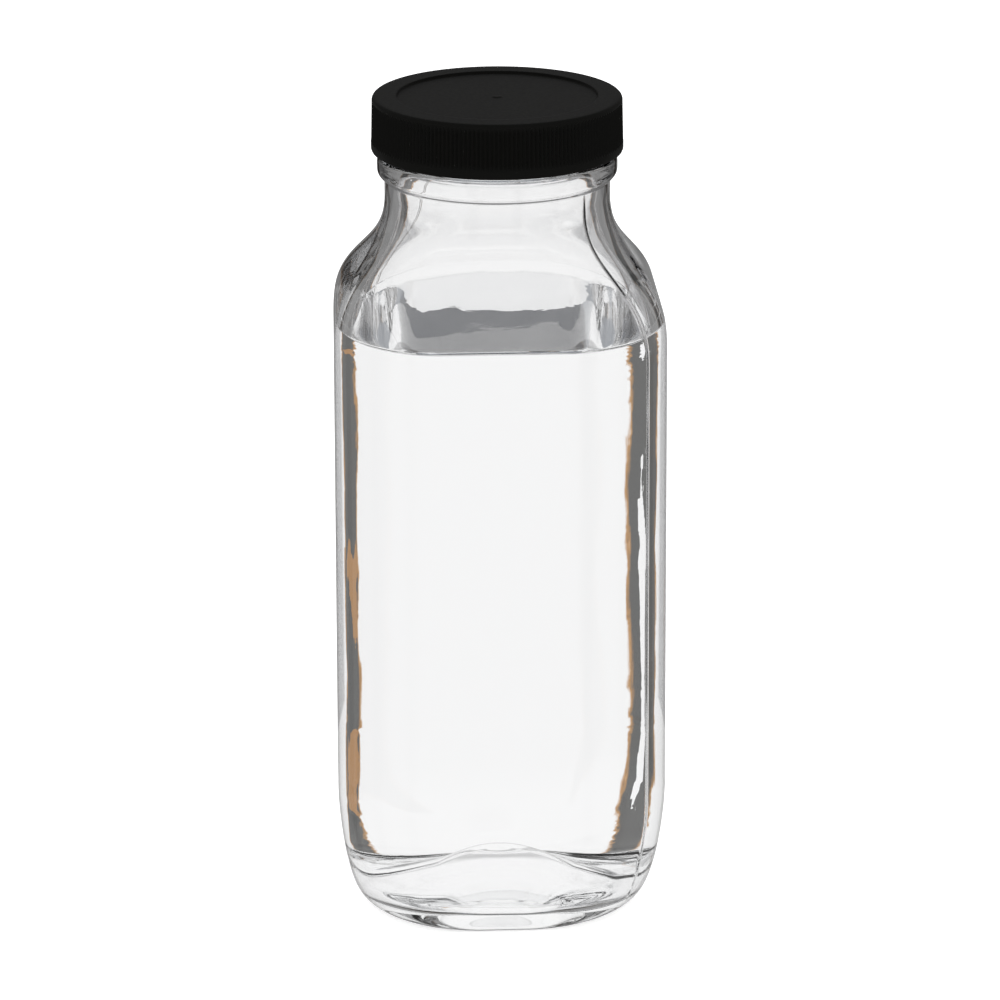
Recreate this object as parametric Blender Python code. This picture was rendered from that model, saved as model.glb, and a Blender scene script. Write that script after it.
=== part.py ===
"""French-square specimen jar: one moulded glass bottle, its fluid, and a ribbed screw cap with a two-layer liner.

Metres, +Z up. The origin is the centre of the base, on the plane that the jar stands on.
The flats of the square body face +X, -X, +Y and -Y, and everything turns or slides on the Z axis.
"""
import math

import bmesh
import bpy

# ---- driving dimensions, in metres ----
GAP = 0.0003                  # left between two pieces that touch

# glass body: a rounded square section, given by its half width and its corner radius
WALL = 0.0030
BODY_HALF_LOW = 0.0342        # just above the heel
BODY_HALF_HIGH = 0.0335       # just below the shoulder
BODY_CORNER = 0.0197
BASE_HALF = 0.0281            # where the heel meets the base plane
BASE_CORNER = 0.0250
REST_HALF = 0.0205            # inner edge of the flat band that the jar stands on
PUSH_UP = 0.0060              # height of the hollow under the base
HEEL_TOP = 0.0268
HEEL_POWER = 1.45
SHOULDER_LOW = 0.1206
SHOULDER_HIGH = 0.1510
SHOULDER_START_POWER = 2.61
SHOULDER_END_POWER = 1.70

# inside of the base
FLOOR_HEIGHT = 0.0035         # where the floor meets the inner heel
FLOOR_DOME = 0.0080           # its rise to the middle
FLOOR_HALF = 0.0240
FLOOR_CORNER = 0.0225
INNER_HEEL_TOP = 0.0260
INNER_HEEL_POWER = 1.80

# neck finish, a one-start right-hand thread of six turns to the inch
NECK_RADIUS = 0.02275
BEAD_RADIUS = 0.0242
BEAD_LOW = 0.1545
BEAD_HIGH = 0.1599
BEAD_POWER = 1.9              # how full the bead is before its underside runs into the neck
FINISH_RADIUS = 0.0224
RIM_HEIGHT = 0.1679
LIP_ROUND = 0.0007
LAND_OUTER = 0.0215
LAND_INNER = 0.0205
THREAD_CLEAR = 0.0003         # plain neck between the bead and the thread's first row
PITCH = 0.0254 / 6
JAR_THREAD_DEPTH = 0.0012
JAR_THREAD_HALF = 0.00135
JAR_THREAD_START = 0.1616
JAR_THREAD_TURNS = 1.10
THREAD_FADE = math.radians(25)

FLUID_LEVEL = 0.1258

# screw cap
CAP_BOTTOM = 0.16044
CAP_HEIGHT = 0.01096
CAP_BAND_RADIUS = 0.02535
CAP_BAND_TOP = 0.0017         # heights on the cap are above its bottom edge
RIB_COUNT = 180
RIB_DEPTH = 0.0004
RIB_LOW = 0.0020
RIB_HIGH = 0.0100
RIB_LOW_RADIUS = 0.02530      # over the crests of the ribs
RIB_HIGH_RADIUS = 0.02510
CAP_EDGE_ROUND = 0.0008
CAP_EDGE_CHAMFER = 0.0004
PANEL_RADIUS = 0.0199
PANEL_DEPTH = 0.00045
CAP_ROOF = 0.0011
SKIRT_RADIUS = 0.02395        # inside of the skirt
CAP_THREAD_DEPTH = 0.0010
CAP_THREAD_HALF = 0.0011
CAP_THREAD_DROP = 0.0014      # the cap's thread lies this far below the jar's
CAP_THREAD_FROM = math.radians(160)
CAP_THREAD_TURNS = 1.12
GATE_RADIUS = 0.0011
GATE_HEIGHT = 0.00025

# liner discs
BACKING_RADIUS = 0.0234
BACKING_THICK = 0.00075
FACING_RADIUS = 0.0229
FACING_THICK = 0.0003

# facets
JAR_COLUMNS = 48
CAP_COLUMNS = 72
SKIRT_COLUMNS = 48
HEEL_ROWS = 9
INNER_HEEL_ROWS = 7
SHOULDER_ROWS = 13
INNER_SHOULDER_ROWS = 11
THREAD_ROW = 0.00048
BEAD_PLACES = (-1.0, -0.8, -0.6, -0.3, 0.0, 0.5, 0.82, 0.96, 1.0)
PUSH_UP_SHARES = (0.25, 0.5, 0.75, 1.0)
FLOOR_SHARES = (0.8, 0.6, 0.4, 0.2)
DISC_SIDES = 64
DISC_BEVEL = 0.2              # of the disc's thickness
HARD_EDGE = math.radians(35)

CAP_TOP = CAP_BOTTOM + CAP_HEIGHT
PANEL_HEIGHT = CAP_TOP - PANEL_DEPTH
CEILING_HEIGHT = PANEL_HEIGHT - CAP_ROOF
BACKING_HEIGHT = CEILING_HEIGHT - GAP - BACKING_THICK
FACING_HEIGHT = BACKING_HEIGHT - GAP - FACING_THICK


# ---- profiles of the glass ----
def square_distance(angle, half, corner):
    """Distance from the axis to the outline of a rounded square, at a polar angle."""
    fold = abs((angle + math.pi / 4) % (math.pi / 2) - math.pi / 4)
    centre = half - corner
    if math.tan(fold) * half < centre:
        return half / math.cos(fold)
    along = centre * (math.cos(fold) + math.sin(fold))
    return along + math.sqrt(max(along * along - 2 * centre * centre + corner * corner, 0.0))


def shoulder_blend(z):
    """0 where the shoulder leaves the body, 1 where it meets the neck."""
    rise = (z - SHOULDER_LOW) / (SHOULDER_HIGH - SHOULDER_LOW)
    rise = min(max(rise, 0.0), 1.0)
    start = rise ** SHOULDER_START_POWER
    return start / (start + (1 - rise) ** SHOULDER_END_POWER)


def outer_section(z):
    """Half width and corner radius of the outside of the glass, from the base to the neck."""
    if z < HEEL_TOP:
        bulge = math.sqrt(1 - (1 - z / HEEL_TOP) ** HEEL_POWER)
        half = BASE_HALF + (BODY_HALF_LOW - BASE_HALF) * bulge
        return half, BODY_CORNER + (BASE_CORNER - BODY_CORNER) * (1 - bulge) ** 2
    if z <= SHOULDER_LOW:
        rise = (z - HEEL_TOP) / (SHOULDER_LOW - HEEL_TOP)
        return BODY_HALF_LOW + (BODY_HALF_HIGH - BODY_HALF_LOW) * rise, BODY_CORNER
    blend = shoulder_blend(z)
    half = BODY_HALF_HIGH + (NECK_RADIUS - BODY_HALF_HIGH) * blend
    corner = BODY_CORNER + (NECK_RADIUS - BODY_CORNER) * blend ** 0.8
    return half, min(corner, half)


def inner_section(z):
    """Half width and corner radius of the inside of the glass, from its floor to the neck."""
    if z < INNER_HEEL_TOP:
        top_half, top_corner = inner_section(INNER_HEEL_TOP)
        drop = (INNER_HEEL_TOP - z) / (INNER_HEEL_TOP - FLOOR_HEIGHT)
        bulge = math.sqrt(1 - min(drop, 1.0) ** INNER_HEEL_POWER)
        return (FLOOR_HALF + (top_half - FLOOR_HALF) * bulge,
                FLOOR_CORNER + (top_corner - FLOOR_CORNER) * bulge)
    step = 0.0002
    slope = (outer_section(z + step)[0] - outer_section(z - step)[0]) / (2 * step)
    inset = WALL * math.sqrt(1 + slope * slope) if z > SHOULDER_LOW else WALL
    half, corner = outer_section(z)
    return half - inset, min(max(corner - WALL, 0.0), half - inset)


def floor_height(half):
    """Height of the inside of the base at a half width: a dome that runs out flat at its edge."""
    return FLOOR_HEIGHT + FLOOR_DOME * (1 - (half / FLOOR_HALF) ** 2) ** 2


def floor_ring(share, lift=0.0):
    """A ring of the floor at a share of its half width, lifted for the fluid that lies on it."""
    half = FLOOR_HALF * share
    return rounded_square(floor_height(half) + lift, half, FLOOR_CORNER * share)


def bead_radius(place):
    """The bead's outside from its bottom, -1, to its top, 1: faded into the neck below, full above."""
    if place < 0:
        return NECK_RADIUS + (BEAD_RADIUS - NECK_RADIUS) * math.cos(math.pi / 2 * (-place) ** BEAD_POWER) ** 2
    return FINISH_RADIUS + (BEAD_RADIUS - FINISH_RADIUS) * math.sqrt(1 - place ** 4)


def spaced(low, high, count):
    """Heights from low to high, both included."""
    return [low + (high - low) * i / (count - 1) for i in range(count)]


def eased(low, high, count):
    """Heights from low to high that crowd together at the low end."""
    return [low + (high - low) * (i / (count - 1)) ** 2 for i in range(count)]


def thread_ridge(angle, z, start, first, turns, depth, half_width):
    """Height of a right-hand thread's rounded ridge at a point of the wall.

    The ridge passes height start at angle 0, and runs from the angle first through a number of turns.
    """
    best = 0.0
    for lap in range(-1, 4):
        along = angle + 2 * math.pi * lap
        from_end = min(along - first, first + 2 * math.pi * turns - along)
        if from_end <= 0:
            continue
        away = abs(z - start - PITCH * along / (2 * math.pi))
        if away < half_width:
            fade = min(from_end / THREAD_FADE, 1.0)
            best = max(best, fade * depth * (1 + math.cos(math.pi * away / half_width)) / 2)
    return best


def jar_finish_radius(z):
    """The outside of the threaded finish, as a function of the angle."""
    return lambda angle: FINISH_RADIUS + thread_ridge(
        angle, z, JAR_THREAD_START, 0.0, JAR_THREAD_TURNS, JAR_THREAD_DEPTH, JAR_THREAD_HALF)


def cap_skirt_radius(z):
    """The inside of the cap's skirt, as a function of the angle."""
    start = JAR_THREAD_START - CAP_THREAD_DROP
    return lambda angle: SKIRT_RADIUS - thread_ridge(
        angle, z, start, CAP_THREAD_FROM, CAP_THREAD_TURNS, CAP_THREAD_DEPTH, CAP_THREAD_HALF)


def rounded_square(z, half, corner):
    """A ring of the glass or the fluid."""
    return JAR_COLUMNS, z, lambda angle: square_distance(angle, half, corner)


def circle(z, radius, columns=JAR_COLUMNS):
    """A round ring."""
    return columns, z, lambda angle: radius


# ---- building ----
def add_ring(bm, columns, z, radius):
    """Vertices of one ring, anticlockwise from +X."""
    verts = []
    for i in range(columns):
        angle = 2 * math.pi * i / columns
        reach = radius(angle)
        verts.append(bm.verts.new((reach * math.cos(angle), reach * math.sin(angle), z)))
    return verts


def join_rings(bm, first, second):
    """Faces between two rings: quads where their counts match, otherwise triangles."""
    n, m = len(first), len(second)
    if n == m:
        for i in range(n):
            j = (i + 1) % n
            bm.faces.new((first[i], first[j], second[j], second[i]))
        return
    i = j = 0
    while i < n or j < m:
        if j == m or (i < n and (i + 1) * m <= (j + 1) * n):
            bm.faces.new((first[i % n], first[(i + 1) % n], second[j % m]))
            i += 1
        else:
            bm.faces.new((first[i % n], second[(j + 1) % m], second[j % m]))
            j += 1


def close_ring(bm, ring, z):
    """A fan from a ring to a point on the axis."""
    centre = bm.verts.new((0.0, 0.0, z))
    for i in range(len(ring)):
        bm.faces.new((ring[i], ring[(i + 1) % len(ring)], centre))


def lofted_solid(name, rings, first_z, last_z, material, parent):
    """A closed solid through rings, whose two ends close on the axis at first_z and last_z."""
    bm = bmesh.new()
    made = [add_ring(bm, *ring) for ring in rings]
    close_ring(bm, made[0], first_z)
    for first, second in zip(made, made[1:]):
        join_rings(bm, first, second)
    close_ring(bm, made[-1], last_z)
    bmesh.ops.recalc_face_normals(bm, faces=bm.faces)
    return add_object(name, bm, material, parent)


def add_object(name, bm, material, parent):
    """An object from a bmesh, shaded smooth but for its hard edges."""
    mesh = bpy.data.meshes.new(name)
    bm.to_mesh(mesh)
    bm.free()
    mesh.materials.append(material)
    mesh.shade_smooth()
    mesh.set_sharp_from_angle(angle=HARD_EDGE)
    piece = bpy.data.objects.new(name, mesh)
    bpy.context.scene.collection.objects.link(piece)
    piece.parent = parent
    return piece


def add_material(name, colour, roughness, transmission=0.0, ior=1.45):
    """A Principled material."""
    material = bpy.data.materials.new(name)
    material.use_nodes = True
    shader = material.node_tree.nodes["Principled BSDF"]
    shader.inputs["Base Color"].default_value = (*colour, 1.0)
    shader.inputs["Roughness"].default_value = roughness
    shader.inputs["Metallic"].default_value = 0.0
    shader.inputs["Transmission Weight"].default_value = transmission
    shader.inputs["IOR"].default_value = ior
    return material


def add_axis(name, parent):
    """An empty on the jar's axis, which a body's pieces hang from."""
    axis = bpy.data.objects.new(name, None)
    bpy.context.scene.collection.objects.link(axis)
    axis.parent = parent
    return axis


# ---- pieces ----
def glass_jar(parent):
    """The bottle: up the outside from the push-up, over the rim, and down the inside to the floor."""
    rings = []
    for share in PUSH_UP_SHARES:
        half = REST_HALF * share
        rings.append(rounded_square(PUSH_UP * (1 - share ** 2), half, BASE_CORNER * half / BASE_HALF))
    for z in eased(0.0, HEEL_TOP, HEEL_ROWS) + spaced(SHOULDER_LOW, SHOULDER_HIGH, SHOULDER_ROWS):
        rings.append(rounded_square(z, *outer_section(z)))

    bead_middle, bead_half = (BEAD_LOW + BEAD_HIGH) / 2, (BEAD_HIGH - BEAD_LOW) / 2
    for place in BEAD_PLACES:
        rings.append(circle(bead_middle + bead_half * place, bead_radius(place)))

    lip_low = RIM_HEIGHT - LIP_ROUND
    thread_low = BEAD_HIGH + THREAD_CLEAR
    for z in spaced(thread_low, lip_low, round((lip_low - thread_low) / THREAD_ROW)):
        rings.append((JAR_COLUMNS, z, jar_finish_radius(z)))
    for turn in (45, 90):
        tilt = math.radians(turn)
        reach = LAND_OUTER + (FINISH_RADIUS - LAND_OUTER) * math.cos(tilt)
        rings.append(circle(lip_low + LIP_ROUND * math.sin(tilt), reach))
    rings.append(circle(RIM_HEIGHT, LAND_INNER))
    bore = inner_section(SHOULDER_HIGH)[0]
    rings.append(circle(lip_low, bore))

    for z in reversed(spaced(SHOULDER_LOW, SHOULDER_HIGH, INNER_SHOULDER_ROWS)):
        rings.append(rounded_square(z, *inner_section(z)))
    for z in reversed(eased(FLOOR_HEIGHT, INNER_HEEL_TOP, INNER_HEEL_ROWS)):
        rings.append(rounded_square(z, *inner_section(z)))
    for share in FLOOR_SHARES:
        rings.append(floor_ring(share))

    glass = add_material("clear_glass", (0.93, 0.96, 0.96), 0.02, transmission=1.0, ior=1.52)
    return lofted_solid("glass_jar", rings, PUSH_UP, floor_height(0.0), glass, parent)


def preserving_fluid(parent):
    """The clear fluid, a gap inside the glass all round, with a level top."""
    rings = [floor_ring(share, GAP) for share in reversed(FLOOR_SHARES)]
    heights = eased(FLOOR_HEIGHT, INNER_HEEL_TOP, INNER_HEEL_ROWS) + [SHOULDER_LOW - GAP, FLUID_LEVEL - GAP]
    for z in heights:
        half, corner = inner_section(z)
        rings.append(rounded_square(z + GAP, half - GAP, corner - GAP))
    fluid = add_material("clear_fluid", (0.95, 0.97, 0.97), 0.02, transmission=1.0, ior=1.35)
    return lofted_solid("preserving_fluid", rings, floor_height(0.0) + GAP, FLUID_LEVEL, fluid, parent)


def cap_shell(parent):
    """The cap: down the outside from the gate mark on its panel, round the skirt, and up to the ceiling."""
    rings = [
        circle(PANEL_HEIGHT + GATE_HEIGHT, GATE_RADIUS * 0.8, SKIRT_COLUMNS),
        circle(PANEL_HEIGHT, GATE_RADIUS, SKIRT_COLUMNS),
        circle(PANEL_HEIGHT, PANEL_RADIUS, CAP_COLUMNS),
        circle(CAP_TOP, PANEL_RADIUS + PANEL_DEPTH * 0.5, CAP_COLUMNS),
    ]
    edge_radius = RIB_HIGH_RADIUS - CAP_EDGE_ROUND
    for turn in (90, 60, 30, 0):
        tilt = math.radians(turn)
        rings.append(circle(CAP_TOP - CAP_EDGE_ROUND * (1 - math.sin(tilt)),
                            edge_radius + CAP_EDGE_ROUND * math.cos(tilt), CAP_COLUMNS))
    for height, crest in ((RIB_HIGH, RIB_HIGH_RADIUS), (RIB_LOW, RIB_LOW_RADIUS)):
        rings.append((2 * RIB_COUNT, CAP_BOTTOM + height,
                      lambda angle, crest=crest: crest - RIB_DEPTH * (1 - math.cos(RIB_COUNT * angle)) / 2))
    rings += [
        circle(CAP_BOTTOM + CAP_BAND_TOP, CAP_BAND_RADIUS, CAP_COLUMNS),
        circle(CAP_BOTTOM + CAP_EDGE_CHAMFER, CAP_BAND_RADIUS, CAP_COLUMNS),
        circle(CAP_BOTTOM, CAP_BAND_RADIUS - CAP_EDGE_CHAMFER, CAP_COLUMNS),
        circle(CAP_BOTTOM, SKIRT_RADIUS + CAP_EDGE_CHAMFER, SKIRT_COLUMNS),
    ]
    skirt_low, skirt_high = CAP_BOTTOM + CAP_EDGE_CHAMFER, FACING_HEIGHT - GAP
    rows = round((skirt_high - skirt_low) / THREAD_ROW)
    for z in spaced(skirt_low, skirt_high, rows):
        rings.append((SKIRT_COLUMNS, z, cap_skirt_radius(z)))
    rings.append(circle(CEILING_HEIGHT, SKIRT_RADIUS, SKIRT_COLUMNS))

    plastic = add_material("black_plastic", (0.012, 0.012, 0.013), 0.38)
    return lofted_solid("cap_shell", rings, PANEL_HEIGHT + GATE_HEIGHT, CEILING_HEIGHT, plastic, parent)


def liner_disc(name, radius, low, thick, material, parent):
    """A flat disc whose centre is at its own origin, with a small bevel on its edges."""
    bm = bmesh.new()
    bmesh.ops.create_cone(bm, cap_ends=True, segments=DISC_SIDES, radius1=radius, radius2=radius, depth=thick)
    disc = add_object(name, bm, material, parent)
    disc.location = (0.0, 0.0, low + thick / 2)
    bevel = disc.modifiers.new("edge", "BEVEL")
    bevel.width = thick * DISC_BEVEL
    bevel.segments = 1
    bevel.limit_method = "ANGLE"
    return disc


def main():
    for old in list(bpy.data.objects):
        bpy.data.objects.remove(old, do_unlink=True)

    jar_axis = add_axis("jar_axis", None)
    glass_jar(jar_axis)
    preserving_fluid(jar_axis)

    lift_axis = add_axis("liner_lift_axis", jar_axis)
    pulpboard = add_material("white_pulpboard", (0.85, 0.84, 0.80), 0.8)
    film = add_material("clear_film", (0.92, 0.93, 0.93), 0.35)
    liner_disc("liner_backing", BACKING_RADIUS, BACKING_HEIGHT, BACKING_THICK, pulpboard, lift_axis)
    liner_disc("liner_facing", FACING_RADIUS, FACING_HEIGHT, FACING_THICK, film, lift_axis)

    turn_axis = add_axis("cap_turn_axis", lift_axis)
    cap_shell(turn_axis)


main()
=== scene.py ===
"""The looks of the square specimen jar: clear glass, clear fluid and a ribbed black screw cap."""

import math

import bpy
import numpy as np
from mathutils import Matrix, Vector, noise


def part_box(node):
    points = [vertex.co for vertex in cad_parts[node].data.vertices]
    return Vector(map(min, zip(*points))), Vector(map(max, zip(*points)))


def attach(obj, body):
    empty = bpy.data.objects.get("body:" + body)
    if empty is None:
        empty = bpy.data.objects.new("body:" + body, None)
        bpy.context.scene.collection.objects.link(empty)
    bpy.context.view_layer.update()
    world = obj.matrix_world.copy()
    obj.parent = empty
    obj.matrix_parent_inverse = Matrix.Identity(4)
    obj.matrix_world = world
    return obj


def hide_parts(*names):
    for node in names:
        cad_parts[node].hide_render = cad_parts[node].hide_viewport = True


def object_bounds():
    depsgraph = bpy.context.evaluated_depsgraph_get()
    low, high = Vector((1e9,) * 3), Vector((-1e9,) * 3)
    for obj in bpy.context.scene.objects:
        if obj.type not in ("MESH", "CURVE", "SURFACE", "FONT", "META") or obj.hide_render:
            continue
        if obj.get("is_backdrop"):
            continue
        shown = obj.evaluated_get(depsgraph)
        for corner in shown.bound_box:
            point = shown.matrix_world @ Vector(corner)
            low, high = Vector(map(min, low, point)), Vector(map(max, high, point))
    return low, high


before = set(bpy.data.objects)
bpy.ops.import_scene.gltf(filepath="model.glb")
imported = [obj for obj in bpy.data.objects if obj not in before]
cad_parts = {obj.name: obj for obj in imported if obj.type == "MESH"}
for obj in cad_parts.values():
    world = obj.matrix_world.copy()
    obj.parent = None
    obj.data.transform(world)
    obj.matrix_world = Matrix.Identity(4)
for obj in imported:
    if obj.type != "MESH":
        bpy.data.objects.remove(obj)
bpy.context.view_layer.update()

# ---- places read from the frame, in metres ----
JAR_LOW, JAR_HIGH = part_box("glass_jar")
CAP_LOW, CAP_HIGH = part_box("cap_shell")
FLUID_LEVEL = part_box("preserving_fluid")[1].z
FACING_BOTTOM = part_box("liner_facing")[0].z

# ---- outside of the glass: a rounded square section, given by its half width and its corner radius ----
BODY_HALF_LOW = JAR_HIGH.x
BODY_HALF_HIGH = 0.0335
BODY_CORNER = 0.0197
BASE_HALF = 0.0281
BASE_CORNER = 0.0250
REST_HALF = 0.0205            # inner edge of the flat band that the jar stands on
PUSH_UP = 0.0060              # height of the hollow under the base
PUSH_UP_MIDDLE = 0.03         # its middle ring's share of its width
HEEL_TOP = 0.0268
HEEL_POWER = 1.45
SHOULDER_LOW = 0.1206
SHOULDER_HIGH = 0.1510
SHOULDER_START_POWER = 2.61
SHOULDER_END_POWER = 1.70
SHOULDER_CORNER_POWER = 0.8

SEAM_ANGLES = (math.radians(136.8), math.radians(316.8))   # where the two halves of the mould met
SEAM_HALF_ANGLE = math.radians(0.65)
SEAM_HEIGHT = 0.00030

# ---- inside of the glass ----
WALL = 0.0030
SLOPE_STEP = 0.0002           # the wall's slope is measured over twice this height
FLOOR_HEIGHT = 0.0035         # where the floor meets the inner heel
FLOOR_DOME = 0.0080
FLOOR_HALF = 0.0240
FLOOR_CORNER = 0.0225
FLOOR_MIDDLE = 0.04           # the middle ring's share of the floor's width
INNER_HEEL_TOP = 0.0260
INNER_HEEL_POWER = 1.80

# ---- its unevenness, as moulded ----
DRY_WAVE = 0.00008            # above the fluid
WET_WAVE = 0.00035            # along the fluid
BASE_WAVE = 0.0006            # at the bottom
BASE_WAVE_FROM = 0.030        # heights between which one of them turns into the next
BASE_WAVE_TO = 0.006
DRY_WAVE_FROM = 0.110
DRY_WAVE_TO = 0.122
WAVE_FADE = 0.02              # the unevenness fades out over this height below the neck
WAVE_LIFT = 0.6               # how much of it is upright at the bottom
WAVE_SIZE = (0.014, 0.014, 0.022)
WAVE_SHIFT = Vector((4.0, 8.0, 12.0))

# ---- neck finish ----
NECK_RADIUS = 0.02275
BEAD_RADIUS = 0.0242
BEAD_LOW = 0.1545
BEAD_HIGH = 0.1599
BEAD_POWER = 1.9              # how full the bead is before its underside runs into the neck
BEAD_TOP_POWER = 4            # how square its upper half is
FINISH_RADIUS = 0.0224
RIM_HEIGHT = JAR_HIGH.z
LIP_ROUND = 0.0007
LAND_OUTER = 0.0215
LAND_INNER = 0.0205
THREAD_CLEAR = 0.0003         # plain stretch at the end of a thread
PITCH = 0.0254 / 6            # six turns to the inch
JAR_THREAD = {
    "start": 0.1616, "first": 0.0, "turns": 1.10, "depth": 0.0012, "half_width": 0.00135,
}
CAP_THREAD = {
    "start": 0.1602, "first": math.radians(160), "turns": 1.12, "depth": 0.0010, "half_width": 0.0011,
}
THREAD_FADE = math.radians(25)

# ---- fluid ----
CONTACT_HEIGHT = FLUID_LEVEL + 0.0015    # where the meniscus meets the glass
MENISCUS_WIDTH = 0.0048
MENISCUS_FADE = 0.00096
FLUID_MIDDLE = 0.0005         # half width of the surface's last ring
FLUID_MIDDLE_CORNER = 0.0002
FLUID_CLEAR = 0.00006         # between the fluid's side and the glass
FLUID_TUCK = 0.00003          # the fluid's edge reaches this far into the glass

# ---- cap, whose heights are above its bottom edge ----
CAP_BAND_RADIUS = CAP_HIGH.x
CAP_BAND_TOP = 0.0017
RIB_COUNT = 180
RIB_DEPTH = 0.0004
RIB_LOW = 0.0020
RIB_HIGH = 0.0100
RIB_LOW_RADIUS = 0.02530      # over the crests of the ribs
RIB_HIGH_RADIUS = 0.02510
RIB_POWER = 0.8               # below 1 the crests are narrower than the grooves
RIB_RUN_OUT = 0.0003
RIB_MARGIN = 0.0002           # the rings of the ribs reach this far past them
CAP_EDGE_ROUND = 0.0008
CAP_CHAMFER = 0.0004
BAND_EDGE = ((0.0, 1.2), (0.3, 0.4), (1.0, 0.0))             # insets and heights, in chamfers
PANEL_RADIUS = 0.0199
PANEL_DEPTH = 0.00045
PANEL_STEP = 0.0003           # width of the rounded step round the panel
CAP_ROOF = 0.0011
SKIRT_RADIUS = 0.02395
GATE_RADIUS = 0.0011
GATE_HEIGHT = 0.00012
GATE_PROFILE = ((0.4, 1.0), (0.8, 0.8), (1.0, 0.0), (1.3, 0.0))    # in gate radii and gate heights
PANEL_MIDDLE = GATE_RADIUS * 2    # radius of the panel's first ring
ROOF_MIDDLE = 0.001           # radius of the last ring under the roof
CAP_SHARP_FROM = math.radians(50)

# ---- mesh fineness: rings to a stretch, and vertices to a ring ----
GLASS_COLUMNS = 256
SEAM_COLUMNS = 9
ANGLE_DECIMALS = 9            # columns whose angles agree so far are one
BASE_ROWS = 14
HEEL_ROWS = 40
BODY_ROWS = 40
SHOULDER_ROWS = 50
BEAD_ROWS = 31
THREAD_ROWS = 44
LIP_ROWS = 6
BORE_ROWS = 12
DRY_ROWS = 40
CONTACT_ROWS = 14
WET_ROWS = 50
INNER_HEEL_ROWS = 30
MENISCUS_ROWS = 22
SURFACE_ROWS = 20
CAP_COLUMNS = RIB_COUNT * 6
PANEL_ROWS = 12
PANEL_STEP_ROWS = 9
CAP_TOP_ROWS = 6
CAP_EDGE_ROWS = 10
RIB_ROWS = 16
CAP_THREAD_ROWS = 36
CARD_SIDES = 96

# ---- materials ----
WHITE = (1.0, 1.0, 1.0)
GLASS_IOR = 1.52
GLASS_TINT = (0.986, 0.986, 0.987)
GLASS_RIPPLE = 0.0040
PAINTED_EDGE_SHADE = (0.42, 0.42, 0.43)    # painted shade: the grey of glass seen nearly edge on
EDGE_FROM = 0.63              # in terms of the Layer Weight node's facing
EDGE_TO = 0.67
EDGE_FADE_LOW = 0.018         # the painted edge shade comes in between these heights
EDGE_FADE_HIGH = 0.050
FLUID_IOR = 1.345
FLUID_RIPPLE = 0.006
FLUID_CLOUD = (0.990, 0.993, 0.993)
GRAIN_DETAIL = 2.0
BUMP_STRENGTH = 0.35
BUMP_DISTANCE = 0.00002
BLACK_PLASTIC = {"colour": (0.0048, 0.0048, 0.0043), "roughness": 0.42, "grain_size": 0.0007}
WHITE_PULPBOARD = {"colour": (0.80, 0.79, 0.75), "roughness": 0.8, "grain_size": 0.0004}
CLEAR_FILM = {"colour": (0.85, 0.86, 0.86), "roughness": 0.3, "grain_size": 0.003}
PLASTIC_SPECULAR = 0.045
SMOOTHER = 0.05               # how far the roughness of plastic varies to either side
ROUGHER = 0.07

# ---- camera ----
CAMERA_AZIMUTH = math.radians(-2.65)
CAMERA_ELEVATION = math.radians(20.04)
CAMERA_ROLL = math.radians(-0.12)
CAMERA_DISTANCE = 0.770
CAMERA_LENS = 133.4
CAMERA_SENSOR = 36.0
CAMERA_AIM = 0.4968           # share of the object's height
CAMERA_SIDE = 0.00042

# ---- studio ----
FLOOR_SIZE = 12.0
FLOOR_DROP = 0.00005          # the floor lies this far below the base
FLOOR_GREY = (0.9, 0.9, 0.9)
FLOOR_ROUGHNESS = 0.9
FLOOR_GLOW = 0.6
CARD_SPACING = math.radians(45)
CARD_HALF_WIDTH = math.radians(17.6)
CARD_TURN = math.radians(4.8)     # a card stands straight behind the jar as the camera sees it
CARD_RAGGED = math.radians(1.9)   # how far noise moves the cards' edges
CARD_FRINGE = (0.55, 0.32, 0.15)
FRINGE_INSIDE = 0.03          # width of the fringe on the card and in the gap, in half spacings
FRINGE_OUTSIDE = 0.04
SPOT_SCALE = (30.0, 30.0, 80.0)   # of that noise, in terms of a direction
SPOT_DETAIL = 2.0
GAP_GREY = (0.140, 0.140, 0.137)
GAPS_FROM = -0.72             # the gaps run between these heights, as the Z of a direction
GAPS_TO = 0.20
GLOWS = (                     # small lights in the gaps
    {"colour": (0.46, 0.27, 0.14), "spot": (0.400, 0.840, -0.368), "reach": (0.065, 0.10, 0.012)},
    {"colour": WHITE, "spot": (-0.271, 0.886, -0.380), "reach": (0.022, 0.10, 0.032)},
)
GLOW_RAGGED = 1.2             # how far noise moves a glow's edge, in its reaches
WALL_LIGHT = 0.25             # share of the studio's light in what surfaces mirror or the wall alone bends
DEEP_LIGHT = 0.60             # the same for light mirrored inside the jar that leaves downwards
HORIZON_SOFTNESS = 5.0        # how fast that starts at the horizon
ONCE = 0.5                    # a ray that has met a surface has a depth over this
IN_WALL = 2.5                 # light that stays in the wall passes fewer surfaces than this
# painted shadow: a glowing grey card with a darker oval, seen only through the glass, for the jar's shadow
# on the floor near it
UNDER_CARD_RADIUS = 0.116
UNDER_CARD_DEPTH = 0.150
PAINTED_SHADOW_RIM = (0.25, 0.27, 0.30)
PAINTED_SHADOW_CORE = (0.008, 0.010, 0.018)
UNDER_CORE_CENTRE = (0.011, 0.078, 0.0)   # the painted shadow's darker oval, from the card's middle
UNDER_CORE_REACH = (0.035, 0.050, 1.0)
UNDER_CORE_EDGE = 0.90        # where the oval starts to lighten, as a share of its reach
MOTTLE_SIZE = 0.0015
MOTTLE_DETAIL = 4.0
MOTTLE = 0.25                 # how far noise moves the oval's edge, in its reaches
LIGHT_BOUNCES = 32
MIRROR_BOUNCES = 12


# ---- numbers ----
def spaced(low, high, count):
    """Evenly spaced numbers, with both ends."""
    return np.linspace(low, high, count)


def eased(low, high, count):
    """Heights that crowd together at the low end."""
    return low + (high - low) * np.linspace(0, 1, count) ** 2


def share_between(value, start, end):
    """0 up to the start, 1 from the end on."""
    return min(max((value - start) / (end - start), 0.0), 1.0)


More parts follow.
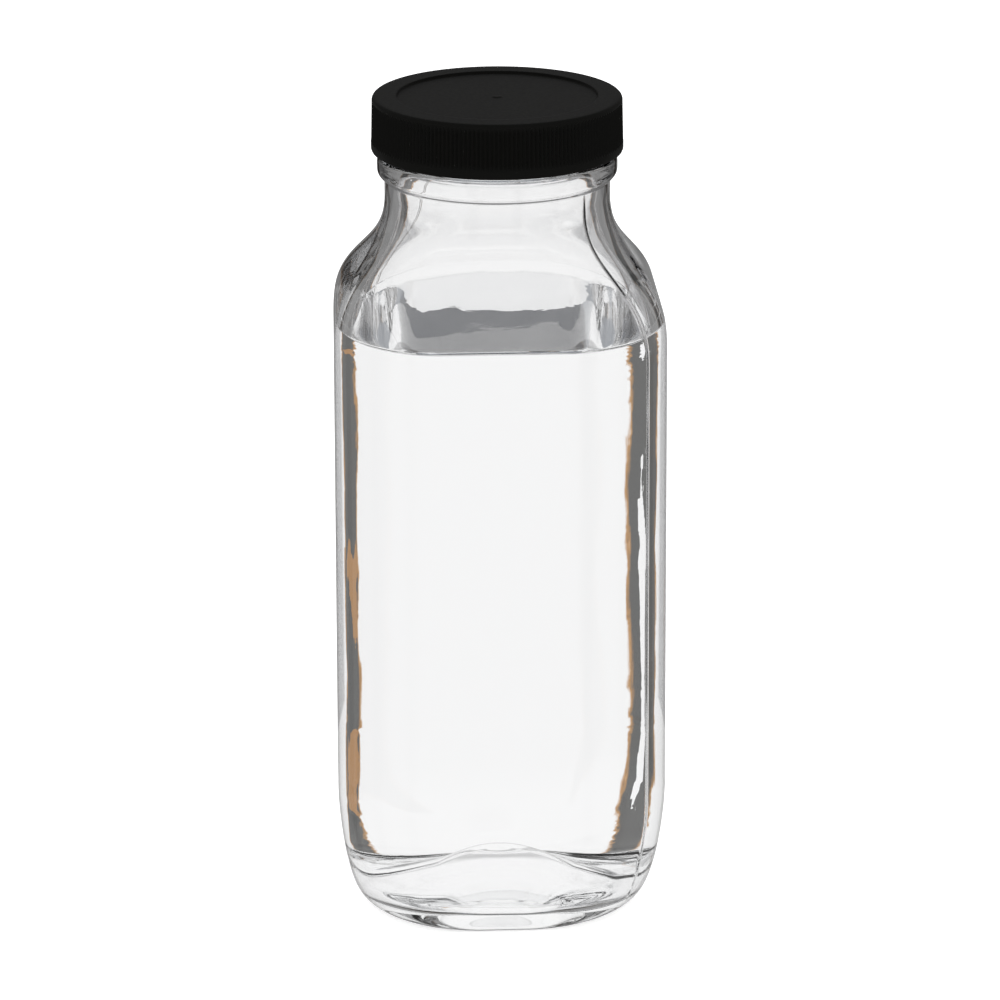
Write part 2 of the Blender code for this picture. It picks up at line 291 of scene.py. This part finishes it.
# ---- profiles of the glass ----
def square_distance(angles, half, corner):
    """Distances from the axis to the outline of a rounded square, at polar angles."""
    fold = np.abs((angles + math.pi / 4) % (math.pi / 2) - math.pi / 4)
    centre = half - corner
    along = centre * (np.cos(fold) + np.sin(fold))
    rounded = along + np.sqrt(np.maximum(along ** 2 - 2 * centre ** 2 + corner ** 2, 0.0))
    return np.where(np.tan(fold) * half < centre, half / np.cos(fold), rounded)


def shoulder_blend(z):
    """0 where the shoulder leaves the body, 1 where it meets the neck."""
    rise = share_between(z, SHOULDER_LOW, SHOULDER_HIGH)
    start = rise ** SHOULDER_START_POWER
    return start / (start + (1 - rise) ** SHOULDER_END_POWER)


def outer_section(z):
    """Half width and corner radius of the outside of the glass, from the base to the neck."""
    if z < HEEL_TOP:
        bulge = math.sqrt(1 - (1 - z / HEEL_TOP) ** HEEL_POWER)
        half = BASE_HALF + (BODY_HALF_LOW - BASE_HALF) * bulge
        return half, BODY_CORNER + (BASE_CORNER - BODY_CORNER) * (1 - bulge) ** 2
    if z <= SHOULDER_LOW:
        rise = (z - HEEL_TOP) / (SHOULDER_LOW - HEEL_TOP)
        return BODY_HALF_LOW + (BODY_HALF_HIGH - BODY_HALF_LOW) * rise, BODY_CORNER
    blend = shoulder_blend(z)
    half = BODY_HALF_HIGH + (NECK_RADIUS - BODY_HALF_HIGH) * blend
    corner = BODY_CORNER + (NECK_RADIUS - BODY_CORNER) * blend ** SHOULDER_CORNER_POWER
    return half, min(corner, half)


def inner_section(z):
    """Half width and corner radius of the inside of the glass, from its floor to the neck."""
    if z < INNER_HEEL_TOP:
        top_half, top_corner = inner_section(INNER_HEEL_TOP)
        drop = min((INNER_HEEL_TOP - z) / (INNER_HEEL_TOP - FLOOR_HEIGHT), 1.0)
        bulge = math.sqrt(1 - drop ** INNER_HEEL_POWER)
        return (FLOOR_HALF + (top_half - FLOOR_HALF) * bulge,
                FLOOR_CORNER + (top_corner - FLOOR_CORNER) * bulge)
    slope = (outer_section(z + SLOPE_STEP)[0] - outer_section(z - SLOPE_STEP)[0]) / (2 * SLOPE_STEP)
    inset = WALL * math.sqrt(1 + slope * slope) if z > SHOULDER_LOW else WALL
    half, corner = outer_section(z)
    return half - inset, min(max(corner - WALL, 0.0), half - inset)


def floor_height(half):
    """Height of the inside of the base at a half width: a low dome."""
    return FLOOR_HEIGHT + FLOOR_DOME * (1 - (half / FLOOR_HALF) ** 2) ** 2


def thread_ridge(angles, z, start, first, turns, depth, half_width):
    """Height of a right-hand thread's rounded ridge round the wall at one height."""
    ridge = np.zeros_like(angles)
    laps = math.floor(first / (2 * math.pi) + turns) + 1
    for lap in range(laps):
        along = angles + 2 * math.pi * lap
        from_end = np.minimum(along - first, first + 2 * math.pi * turns - along)
        away = np.abs(z - start - PITCH * along / (2 * math.pi))
        fade = np.clip(from_end / THREAD_FADE, 0.0, 1.0)
        hump = (1 + np.cos(math.pi * np.minimum(away / half_width, 1.0))) / 2
        ridge = np.maximum(ridge, fade * depth * hump)
    return ridge


# ---- building ----
def column_angles(count):
    """Polar angles of a ring's vertices."""
    return np.arange(count) * (2 * math.pi / count)


def ring_points(angles, reach, z):
    """Vertices of one ring."""
    reach = np.broadcast_to(reach, angles.shape)
    return np.stack([reach * np.cos(angles), reach * np.sin(angles), np.broadcast_to(z, angles.shape)], -1)


def lofted_mesh(name, rings, first_z, last_z):
    """A closed mesh through rings of equal count, whose two ends close on the axis."""
    rows, columns = len(rings), len(rings[0])
    verts = np.concatenate([np.concatenate(rings), [(0, 0, first_z), (0, 0, last_z)]])
    faces = []
    for row in range(rows - 1):
        low, high = row * columns, (row + 1) * columns
        for i in range(columns):
            j = (i + 1) % columns
            faces.append((low + i, low + j, high + j, high + i))
    first, last, top = rows * columns, rows * columns + 1, (rows - 1) * columns
    for i in range(columns):
        j = (i + 1) % columns
        faces.append((j, i, first))
        faces.append((top + i, top + j, last))
    mesh = bpy.data.meshes.new(name)
    mesh.from_pydata(verts.tolist(), [], faces)
    mesh.update()
    mesh.shade_smooth()
    return mesh


def use_second_material(mesh, rings, first_row):
    """Puts the second material on a lofted mesh from one ring to its last end."""
    columns = len(rings[0])
    side_faces = (len(rings) - 1) * columns
    index = np.arange(len(mesh.polygons))
    second = (index // columns >= first_row) & (index < side_faces)
    second[side_faces + 1::2] = True
    mesh.polygons.foreach_set("material_index", second.astype(np.int32))


def place(name, mesh, body, node):
    """An object that rides on a body and stands for a CAD node."""
    piece = bpy.data.objects.new(name, mesh)
    bpy.context.scene.collection.objects.link(piece)
    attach(piece, body)
    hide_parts(node)
    return piece


# ---- glass ----
def glass_angles():
    """Polar angles of the glass's columns, crowded at the seams."""
    offsets = spaced(-SEAM_HALF_ANGLE, SEAM_HALF_ANGLE, SEAM_COLUMNS)
    seams = [angle + offsets for angle in SEAM_ANGLES]
    return np.unique(np.round(np.concatenate([column_angles(GLASS_COLUMNS), *seams]), ANGLE_DECIMALS))


def seam_ridge(angles):
    """Height of the fine upright ridges that the mould leaves."""
    away = np.min([np.abs(angles - seam) for seam in SEAM_ANGLES], axis=0)
    return SEAM_HEIGHT * (1 + np.cos(math.pi * np.minimum(away / SEAM_HALF_ANGLE, 1.0))) / 2


def outside_rings(angles):
    """Rings from the middle of the hollow under the base up to the neck."""
    rings = []
    for share in spaced(PUSH_UP_MIDDLE, 1.0, BASE_ROWS):
        half = REST_HALF * share
        reach = square_distance(angles, half, BASE_CORNER * half / BASE_HALF)
        rings.append(ring_points(angles, reach, PUSH_UP * (1 - share ** 2)))
    heights = np.concatenate([eased(0.0, HEEL_TOP, HEEL_ROWS),
                              spaced(HEEL_TOP, SHOULDER_LOW, BODY_ROWS)[1:],
                              spaced(SHOULDER_LOW, SHOULDER_HIGH, SHOULDER_ROWS)[1:]])
    for z in heights:
        seam = seam_ridge(angles) * min(z / HEEL_TOP, 1.0)
        rings.append(ring_points(angles, square_distance(angles, *outer_section(z)) + seam, z))
    return rings


def bead_rings(angles):
    """Rings up over the bead."""
    middle, half_height = (BEAD_LOW + BEAD_HIGH) / 2, (BEAD_HIGH - BEAD_LOW) / 2
    rings = []
    for rise in spaced(-1.0, 1.0, BEAD_ROWS):
        if rise < 0:
            root = NECK_RADIUS
            bulge = math.cos(math.pi / 2 * abs(rise) ** BEAD_POWER) ** 2
        else:
            root = FINISH_RADIUS
            bulge = math.sqrt(1 - rise ** BEAD_TOP_POWER)
        reach = root + (BEAD_RADIUS - root) * bulge
        rings.append(ring_points(angles, reach, middle + half_height * rise))
    return rings


def rim_rings(angles):
    """Rings up the thread, over the rim and down the bore."""
    rings = []
    lip = RIM_HEIGHT - LIP_ROUND
    bore = inner_section(SHOULDER_HIGH)[0]
    for z in spaced(BEAD_HIGH + THREAD_CLEAR, lip, THREAD_ROWS):
        rings.append(ring_points(angles, FINISH_RADIUS + thread_ridge(angles, z, **JAR_THREAD), z))
    for turn in spaced(0, math.pi / 2, LIP_ROWS)[1:]:
        reach = LAND_OUTER + (FINISH_RADIUS - LAND_OUTER) * math.cos(turn)
        rings.append(ring_points(angles, reach, RIM_HEIGHT - LIP_ROUND * (1 - math.sin(turn))))
    for turn in spaced(0, math.pi / 2, LIP_ROWS):
        reach = bore + (LAND_INNER - bore) * math.cos(turn)
        rings.append(ring_points(angles, reach, RIM_HEIGHT - LIP_ROUND * (1 - math.cos(turn))))
    for z in spaced(SHOULDER_HIGH, lip, BORE_ROWS)[::-1][1:-1]:
        rings.append(ring_points(angles, bore, z))
    return rings


def inner_ring(angles, z, half, corner):
    """A ring of the inside of the glass, whose wall is a little uneven as moulded."""
    points = ring_points(angles, square_distance(angles, half, corner), z)
    depth = share_between(z, BASE_WAVE_FROM, BASE_WAVE_TO)
    dryness = share_between(z, DRY_WAVE_FROM, DRY_WAVE_TO)
    reach = WET_WAVE + (BASE_WAVE - WET_WAVE) * depth ** 2 + (DRY_WAVE - WET_WAVE) * dryness
    fade = share_between(z, SHOULDER_HIGH, SHOULDER_HIGH - WAVE_FADE)
    smooth_noise = np.array([noise.noise(Vector(point) + WAVE_SHIFT) for point in points / WAVE_SIZE])
    wave = np.maximum(smooth_noise * reach * fade, -reach)
    away = np.stack([np.cos(angles), np.sin(angles), np.full_like(angles, WAVE_LIFT * depth)], -1)
    return points - away * wave[:, None]


def dry_rings(angles):
    """Rings from the neck down the inside to the fluid's edge."""
    heights = spaced(CONTACT_HEIGHT, SHOULDER_HIGH, DRY_ROWS)[::-1]
    return [inner_ring(angles, z, *inner_section(z)) for z in heights]


def wet_rings(angles):
    """Rings from the fluid's edge down the inside to the middle of the floor."""
    heights = np.concatenate([spaced(SHOULDER_LOW, CONTACT_HEIGHT, CONTACT_ROWS)[:-1][::-1],
                              spaced(INNER_HEEL_TOP, SHOULDER_LOW, WET_ROWS)[:-1][::-1],
                              eased(FLOOR_HEIGHT, INNER_HEEL_TOP, INNER_HEEL_ROWS)[:-1][::-1]])
    rings = [inner_ring(angles, z, *inner_section(z)) for z in heights]
    for share in spaced(1.0, FLOOR_MIDDLE, BASE_ROWS)[1:]:
        half = FLOOR_HALF * share
        rings.append(inner_ring(angles, floor_height(half), half, FLOOR_CORNER * share))
    return rings


def glass_jar():
    """The bottle. Its inside below the fluid's edge bends light from glass into fluid.

    Returns the rings of that inside.
    """
    angles = glass_angles()
    rings = [*outside_rings(angles), *bead_rings(angles), *rim_rings(angles), *dry_rings(angles)]
    edge_row = len(rings) - 1
    rings += wet_rings(angles)
    mesh = lofted_mesh("jar_glass", rings, PUSH_UP, float(rings[-1][:, 2].mean()))
    mesh.materials.append(glass_material("clear_glass", GLASS_IOR))
    mesh.materials.append(glass_material("wetted_glass", GLASS_IOR / FLUID_IOR))
    use_second_material(mesh, rings, edge_row)
    place("jar_glass", mesh, "jar", "glass_jar")
    return rings[edge_row:]


# ---- fluid ----
def off_the_wall(ring):
    """A ring of the glass moved a hair into the fluid."""
    reach = np.linalg.norm(ring[:, :2], axis=1)[:, None]
    moved = ring.copy()
    moved[:, :2] *= (reach - FLUID_CLEAR) / reach
    moved[:, 2] += 2 * FLUID_CLEAR * share_between(ring[0, 2], INNER_HEEL_TOP, 0.0)
    return moved


def surface_rings(angles, edge):
    """Rings of the fluid's top, from its edge on the glass to its middle."""
    half, corner = inner_section(CONTACT_HEIGHT)
    insets = np.concatenate([spaced(0.0, MENISCUS_WIDTH, MENISCUS_ROWS)[1:],
                             spaced(MENISCUS_WIDTH, half - FLUID_MIDDLE, SURFACE_ROWS)[1:]])
    rings = [edge + ring_points(angles, FLUID_TUCK, 0.0)]
    for inset in insets:
        rise = (CONTACT_HEIGHT - FLUID_LEVEL) * math.exp(-inset / MENISCUS_FADE)
        rounding = max(min(corner, half) - inset * corner / half, FLUID_MIDDLE_CORNER)
        reach = square_distance(angles, half - inset, rounding)
        rings.append(ring_points(angles, reach, FLUID_LEVEL + rise))
    return rings


def fluid(inside):
    """The fluid: its side is the inside of the glass, and its top has a meniscus."""
    side = [off_the_wall(ring) for ring in inside[:0:-1]]
    rings = side + surface_rings(glass_angles(), inside[0])
    mesh = lofted_mesh("clear_fluid", rings, float(side[0][:, 2].mean()), FLUID_LEVEL)
    mesh.materials.append(fluid_material("fluid_side", 1.0))
    mesh.materials.append(fluid_material("fluid_top", FLUID_IOR))
    use_second_material(mesh, rings, len(side))
    place("clear_fluid", mesh, "jar", "preserving_fluid")


# ---- cap ----
def cap_top_rings(angles, top, panel):
    """Rings from the gate mark over the recessed panel to the top of the ribs."""
    rings = []
    for reach, rise in GATE_PROFILE:
        rings.append(ring_points(angles, GATE_RADIUS * reach, panel + GATE_HEIGHT * rise))
    for reach in spaced(PANEL_MIDDLE, PANEL_RADIUS - PANEL_STEP, PANEL_ROWS):
        rings.append(ring_points(angles, reach, panel))
    for turn in spaced(0, math.pi, PANEL_STEP_ROWS):
        reach = PANEL_RADIUS + PANEL_STEP * turn / math.pi
        rings.append(ring_points(angles, reach, panel + PANEL_DEPTH * (1 - math.cos(turn)) / 2))
    edge = RIB_HIGH_RADIUS - CAP_EDGE_ROUND
    for reach in spaced(PANEL_RADIUS + 2 * PANEL_STEP, edge, CAP_TOP_ROWS)[:-1]:
        rings.append(ring_points(angles, reach, top))
    for turn in spaced(math.pi / 2, 0, CAP_EDGE_ROWS):
        rings.append(ring_points(angles, edge + CAP_EDGE_ROUND * math.cos(turn),
                                 top - CAP_EDGE_ROUND * (1 - math.sin(turn))))
    return rings


def cap_side_rings(angles, bottom):
    """Rings down the ribs and the plain band to the bottom edge."""
    rings = []
    rib = ((1 - np.cos(RIB_COUNT * angles)) / 2) ** RIB_POWER
    for height in spaced(RIB_HIGH + RIB_MARGIN, RIB_LOW - RIB_MARGIN, RIB_ROWS):
        rise = share_between(height, RIB_LOW, RIB_HIGH)
        crest = RIB_LOW_RADIUS + (RIB_HIGH_RADIUS - RIB_LOW_RADIUS) * rise
        run_out = share_between(min(RIB_HIGH - height, height - RIB_LOW), 0.0, RIB_RUN_OUT)
        rings.append(ring_points(angles, crest - RIB_DEPTH * rib * run_out, bottom + height))
    rings.append(ring_points(angles, CAP_BAND_RADIUS, bottom + CAP_BAND_TOP))
    for inset, rise in BAND_EDGE:
        rings.append(ring_points(angles, CAP_BAND_RADIUS - CAP_CHAMFER * inset, bottom + CAP_CHAMFER * rise))
    rings.append(ring_points(angles, SKIRT_RADIUS + CAP_CHAMFER, bottom))
    return rings


def cap_inside_rings(angles, bottom, ceiling):
    """Rings up the skirt's thread and in under the roof."""
    rings = []
    for z in spaced(bottom + CAP_CHAMFER, FACING_BOTTOM - THREAD_CLEAR, CAP_THREAD_ROWS):
        rings.append(ring_points(angles, SKIRT_RADIUS - thread_ridge(angles, z, **CAP_THREAD), z))
    for reach in spaced(SKIRT_RADIUS, ROOF_MIDDLE, PANEL_ROWS):
        rings.append(ring_points(angles, reach, ceiling))
    return rings


def cap_shell():
    """The cap, down its outside from the gate mark and up its inside to the ceiling."""
    angles = column_angles(CAP_COLUMNS)
    bottom, top = CAP_LOW.z, CAP_HIGH.z
    panel = top - PANEL_DEPTH
    ceiling = panel - CAP_ROOF
    rings = [*cap_top_rings(angles, top, panel), *cap_side_rings(angles, bottom),
             *cap_inside_rings(angles, bottom, ceiling)]
    mesh = lofted_mesh("screw_cap", rings, panel + GATE_HEIGHT, ceiling)
    mesh.flip_normals()
    mesh.set_sharp_from_angle(angle=CAP_SHARP_FROM)
    mesh.materials.append(plastic_material("black_plastic", **BLACK_PLASTIC))
    return place("screw_cap", mesh, "cap", "cap_shell")


def liner_discs():
    """Better materials on the two discs, whose shapes are kept."""
    backing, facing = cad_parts["liner_backing"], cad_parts["liner_facing"]
    backing.material_slots[0].material = plastic_material("white_pulpboard", **WHITE_PULPBOARD)
    facing.material_slots[0].material = plastic_material("clear_film", **CLEAR_FILM)
    return backing, facing


# ---- shading ----
class Shading:
    """A node tree, with short ways to add to it."""

    def __init__(self, tree):
        self.nodes = tree.nodes
        self.links = tree.links

    def add(self, kind, output, *inputs, **settings):
        """A new node's output.

        Inputs are pairs of a socket's name or number and a constant or another node's output.
        """
        node = self.nodes.new(kind)
        for name, value in settings.items():
            setattr(node, name, value)
        for socket, value in inputs:
            self.feed(node.inputs[socket], value)
        return node.outputs[output]

    def feed(self, socket, value):
        """Gives a socket a constant or links another node's output to it."""
        if isinstance(value, bpy.types.NodeSocket):
            self.links.new(value, socket)
        else:
            socket.default_value = value

    def math(self, operation, *inputs, clamp=False):
        return self.add("ShaderNodeMath", 0, *enumerate(inputs), operation=operation, use_clamp=clamp)

    def coordinates(self, kind):
        """Where a point is, or for the world which way a ray goes."""
        return self.add("ShaderNodeTexCoord", kind)

    def part(self, vector, axis):
        return self.add("ShaderNodeSeparateXYZ", axis, (0, vector))

    def noise(self, vector, size, detail):
        return self.add("ShaderNodeTexNoise", "Fac", ("Vector", vector), ("Scale", 1 / size),
                        ("Detail", detail))

    def distance(self, vector, spot, reach):
        """How far a vector is from a spot, in terms of the spot's reach along each axis."""
        scaled = self.add("ShaderNodeMapping", 0, ("Vector", vector), ("Location", spot), ("Scale", reach),
                          vector_type="TEXTURE")
        return self.add("ShaderNodeVectorMath", "Value", (0, scaled), operation="LENGTH")

    def ramp(self, share, stops):
        """A colour from a ramp with stops of position and colour."""
        colour = self.add("ShaderNodeValToRGB", "Color", (0, share))
        elements = colour.node.color_ramp.elements
        elements[0].position, elements[1].position = stops[0][0], stops[-1][0]
        for position, _ in stops[1:-1]:
            elements.new(position)
        for element, (_, shade) in zip(elements, stops):
            element.color = (*shade, 1.0)
        return colour

    def mix(self, share, first, second):
        """A mix of two colours, which are a Mix node's sockets 6 and 7. Its output 2 is the result."""
        return self.add("ShaderNodeMix", 2, (0, share), (6, first), (7, second), data_type="RGBA")

    def bump(self, shader, height):
        """A fine unevenness of a shader's surface."""
        normal = self.add("ShaderNodeBump", "Normal", ("Height", height), ("Strength", BUMP_STRENGTH),
                          ("Distance", BUMP_DISTANCE))
        self.feed(shader.inputs["Normal"], normal)


def new_material(name):
    """A material, its shading and its Principled shader."""
    material = bpy.data.materials.new(name)
    material.use_nodes = True
    return material, Shading(material.node_tree), material.node_tree.nodes["Principled BSDF"]


def grainy(shading, shader, grain_size):
    """Noise in object space, which also makes the surface uneven."""
    grain = shading.noise(shading.coordinates("Object"), grain_size, GRAIN_DETAIL)
    shading.bump(shader, grain)
    return grain


def see_through(shader, ior):
    """Makes a shader clear and perfectly smooth."""
    shader.inputs["Roughness"].default_value = 0.0
    shader.inputs["IOR"].default_value = ior
    shader.inputs["Transmission Weight"].default_value = 1.0


def glass_material(name, ior):
    """Clear glass, rippled as moulded, with painted shade: its colour turns grey where it is seen nearly
    edge on.
    """
    material, shading, shader = new_material(name)
    see_through(shader, ior)
    grainy(shading, shader, GLASS_RIPPLE)
    height = shading.part(shading.coordinates("Object"), "Z")
    rise = shading.add("ShaderNodeMapRange", "Result", ("Value", height), ("From Min", EDGE_FADE_LOW),
                       ("From Max", EDGE_FADE_HIGH))
    # painted shade: the colour turns grey where the glass is seen nearly edge on, above the fade heights
    edge_shade_mask = shading.math("MULTIPLY", shading.add("ShaderNodeLayerWeight", "Facing"), rise)
    stops = [(0.0, GLASS_TINT), (EDGE_FROM, GLASS_TINT), (EDGE_TO, PAINTED_EDGE_SHADE), (1.0, PAINTED_EDGE_SHADE)]
    shading.feed(shader.inputs["Base Color"], shading.ramp(edge_shade_mask, stops))
    return material


def fluid_material(name, ior):
    """Clear fluid: very slightly cloudy in places, with faint ripples on its surface."""
    material, shading, shader = new_material(name)
    see_through(shader, ior)
    grain = grainy(shading, shader, FLUID_RIPPLE)
    shading.feed(shader.inputs["Base Color"], shading.ramp(grain, [(0.0, FLUID_CLOUD), (1.0, WHITE)]))
    return material


def plastic_material(name, colour, roughness, grain_size):
    """Moulded plastic: a fine grain, and a roughness that varies over the surface."""
    material, shading, shader = new_material(name)
    shader.inputs["Base Color"].default_value = (*colour, 1.0)
    shader.inputs["Specular IOR Level"].default_value = PLASTIC_SPECULAR
    grain = grainy(shading, shader, grain_size)
    spread = shading.add("ShaderNodeMapRange", "Result", ("Value", grain), ("To Min", roughness - SMOOTHER),
                         ("To Max", roughness + ROUGHER))
    shading.feed(shader.inputs["Roughness"], spread)
    return material


# ---- studio ----
def studio_piece(name, verts):
    """A flat staged piece of the studio, with its material's shading and shader."""
    mesh = bpy.data.meshes.new(name)
    mesh.from_pydata(verts, [], [tuple(range(len(verts)))])
    piece = bpy.data.objects.new(name, mesh)
    bpy.context.scene.collection.objects.link(piece)
    material, shading, shader = new_material(name)
    shader.inputs["Specular IOR Level"].default_value = 0.0
    mesh.materials.append(material)
    return piece, shading, shader


def studio_floor():
    """The pale floor. The glass and the cap don't show it, so that their outlines stay dark."""
    reach = FLOOR_SIZE / 2
    corners = [(-reach, -reach, 0), (reach, -reach, 0), (reach, reach, 0), (-reach, reach, 0)]
    floor, _, shader = studio_piece("studio_floor", corners)
    floor.location.z = JAR_LOW.z - FLOOR_DROP
    floor.visible_transmission = False
    floor.visible_glossy = False
    shader.inputs["Base Color"].default_value = (*FLOOR_GREY, 1.0)
    shader.inputs["Roughness"].default_value = FLOOR_ROUGHNESS
    shader.inputs["Emission Color"].default_value = (*WHITE, 1.0)
    shader.inputs["Emission Strength"].default_value = FLOOR_GLOW
    floor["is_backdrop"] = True


def painted_shadow_card():
    """Painted shadow: a round card under the jar that glows grey, with a darker oval, for the jar's shadow
    on the floor near it. Only light that has passed the glass shows it.
    """
    card, shading, shader = studio_piece(
        "painted_shadow_card", ring_points(column_angles(CARD_SIDES), UNDER_CARD_RADIUS, 0.0).tolist())
    card.location.z = JAR_LOW.z - UNDER_CARD_DEPTH
    card.visible_camera = False
    card.visible_diffuse = False
    card.visible_glossy = False
    card.visible_shadow = False
    where = shading.coordinates("Object")
    away = shading.distance(where, UNDER_CORE_CENTRE, UNDER_CORE_REACH)
    mottle = shading.noise(where, MOTTLE_SIZE, MOTTLE_DETAIL)
    spread = shading.math("MULTIPLY_ADD", mottle, 2 * MOTTLE, -MOTTLE)
    # painted shadow: the glow is darkest in the mottled oval and greyer towards the card's rim
    stops = [(0.0, PAINTED_SHADOW_CORE), (UNDER_CORE_EDGE, PAINTED_SHADOW_CORE), (1.0, PAINTED_SHADOW_RIM)]
    shader.inputs["Base Color"].default_value = (0.0, 0.0, 0.0, 1.0)
    shading.feed(shader.inputs["Emission Color"], shading.ramp(shading.math("ADD", away, spread), stops))
    shader.inputs["Emission Strength"].default_value = 1.0
    card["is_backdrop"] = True


def card_colours(shading, direction):
    """White cards round the studio, parted by grey gaps with small lights in them."""
    azimuth = shading.math("ARCTAN2", shading.part(direction, "X"), shading.part(direction, "Y"))
    stretched = shading.add("ShaderNodeMapping", 0, ("Vector", direction), ("Scale", SPOT_SCALE))
    spots = shading.noise(stretched, 1.0, SPOT_DETAIL)
    ragged = shading.math("MULTIPLY_ADD", spots, 2 * CARD_RAGGED, -CARD_RAGGED)
    folded = shading.math("PINGPONG", shading.math("SUBTRACT", azimuth, CARD_TURN), CARD_SPACING / 2)
    share = shading.math("DIVIDE", shading.math("ADD", folded, ragged), CARD_SPACING / 2)
    edge = CARD_HALF_WIDTH / (CARD_SPACING / 2)
    colour = shading.ramp(share, [(0.0, WHITE), (edge - FRINGE_INSIDE, WHITE), (edge, CARD_FRINGE),
                                  (edge + FRINGE_OUTSIDE, GAP_GREY), (1.0, GAP_GREY)])
    in_gap = shading.math("GREATER_THAN", share, edge)
    frayed = shading.math("MULTIPLY_ADD", spots, 2 * GLOW_RAGGED, -GLOW_RAGGED)
    for glow in GLOWS:
        away = shading.math("ADD", shading.distance(direction, glow["spot"], glow["reach"]), frayed)
        lit = shading.math("MULTIPLY", shading.math("LESS_THAN", away, 1.0), in_gap)
        colour = shading.mix(lit, colour, (*glow["colour"], 1.0))
    return colour


def light_share(shading, height, below):
    """How much of the studio's light a ray brings: less for what surfaces mirror or the wall alone bends."""
    path = "ShaderNodeLightPath"
    passed = shading.add(path, "Transmission Depth")
    mirrored = shading.math("GREATER_THAN", shading.add(path, "Glossy Depth"), ONCE)
    touched = shading.math("MAXIMUM", mirrored, shading.math("GREATER_THAN", passed, ONCE))
    shallow = shading.math("MULTIPLY", touched, shading.math("LESS_THAN", passed, IN_WALL))
    downwards = shading.math("MULTIPLY_ADD", height, -HORIZON_SOFTNESS, 0.5, clamp=True)
    deep = shading.math("MULTIPLY", mirrored, shading.math("SUBTRACT", downwards, below))
    shallow_loss = shading.math("MULTIPLY", shallow, 1 - WALL_LIGHT)
    deep_loss = shading.math("MULTIPLY", deep, 1 - DEEP_LIGHT)
    return shading.math("SUBTRACT", 1.0, shading.math("MAXIMUM", deep_loss, shallow_loss))


def studio_world():
    """The cards and gaps, with plain white above and below them.

    The glass bends light from the gaps into the dark bands along its edges, and the glass's painted edge
    shade darkens them further. Whatever the glass or the plastic mirrors is dimmer, as in a studio lit
    mostly from behind. The camera itself sees plain white.
    """
    world = bpy.data.worlds.new("studio")
    bpy.context.scene.world = world
    world.use_nodes = True
    shading = Shading(world.node_tree)
    direction = shading.coordinates("Generated")
    height = shading.part(direction, "Z")
    below = shading.math("LESS_THAN", height, GAPS_FROM)
    beyond = shading.math("ADD", shading.math("GREATER_THAN", height, GAPS_TO), below)
    around = shading.mix(beyond, card_colours(shading, direction), (*WHITE, 1.0))
    studio = shading.add("ShaderNodeBackground", 0, ("Color", around),
                         ("Strength", light_share(shading, height, below)))
    backdrop = shading.add("ShaderNodeBackground", 0, ("Color", (*WHITE, 1.0)))
    by_camera = shading.add("ShaderNodeLightPath", "Is Camera Ray")
    seen = shading.add("ShaderNodeMixShader", 0, (0, by_camera), (1, studio), (2, backdrop))
    shading.feed(world.node_tree.nodes["World Output"].inputs["Surface"], seen)


def studio_camera():
    """The camera at the photo's angle, aimed a little to the side of the axis."""
    low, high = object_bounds()
    back = Vector((math.sin(CAMERA_AZIMUTH) * math.cos(CAMERA_ELEVATION),
                   -math.cos(CAMERA_AZIMUTH) * math.cos(CAMERA_ELEVATION),
                   math.sin(CAMERA_ELEVATION)))
    level = Vector((math.cos(CAMERA_AZIMUTH), math.sin(CAMERA_AZIMUTH), 0.0))
    up = back.cross(level)
    right = math.cos(CAMERA_ROLL) * level + math.sin(CAMERA_ROLL) * up
    up = back.cross(right)
    aim = Vector((0, 0, low.z + CAMERA_AIM * (high.z - low.z))) + CAMERA_SIDE * level
    camera = bpy.data.objects.new("camera", bpy.data.cameras.new("camera"))
    bpy.context.scene.collection.objects.link(camera)
    camera.data.lens = CAMERA_LENS
    camera.data.sensor_width = CAMERA_SENSOR
    turn = Matrix((right, up, back)).transposed().to_4x4()
    camera.matrix_world = Matrix.Translation(aim + back * CAMERA_DISTANCE) @ turn
    bpy.context.scene.camera = camera


fluid(glass_jar())
for piece in (cap_shell(), *liner_discs()):
    piece.visible_transmission = False    # or the glass of the base would show the cap's dark inside
studio_floor()
painted_shadow_card()
studio_world()
studio_camera()

scene = bpy.context.scene
scene.view_settings.view_transform = "Standard"
scene.cycles.max_bounces = LIGHT_BOUNCES
scene.cycles.transmission_bounces = LIGHT_BOUNCES
scene.cycles.glossy_bounces = MIRROR_BOUNCES
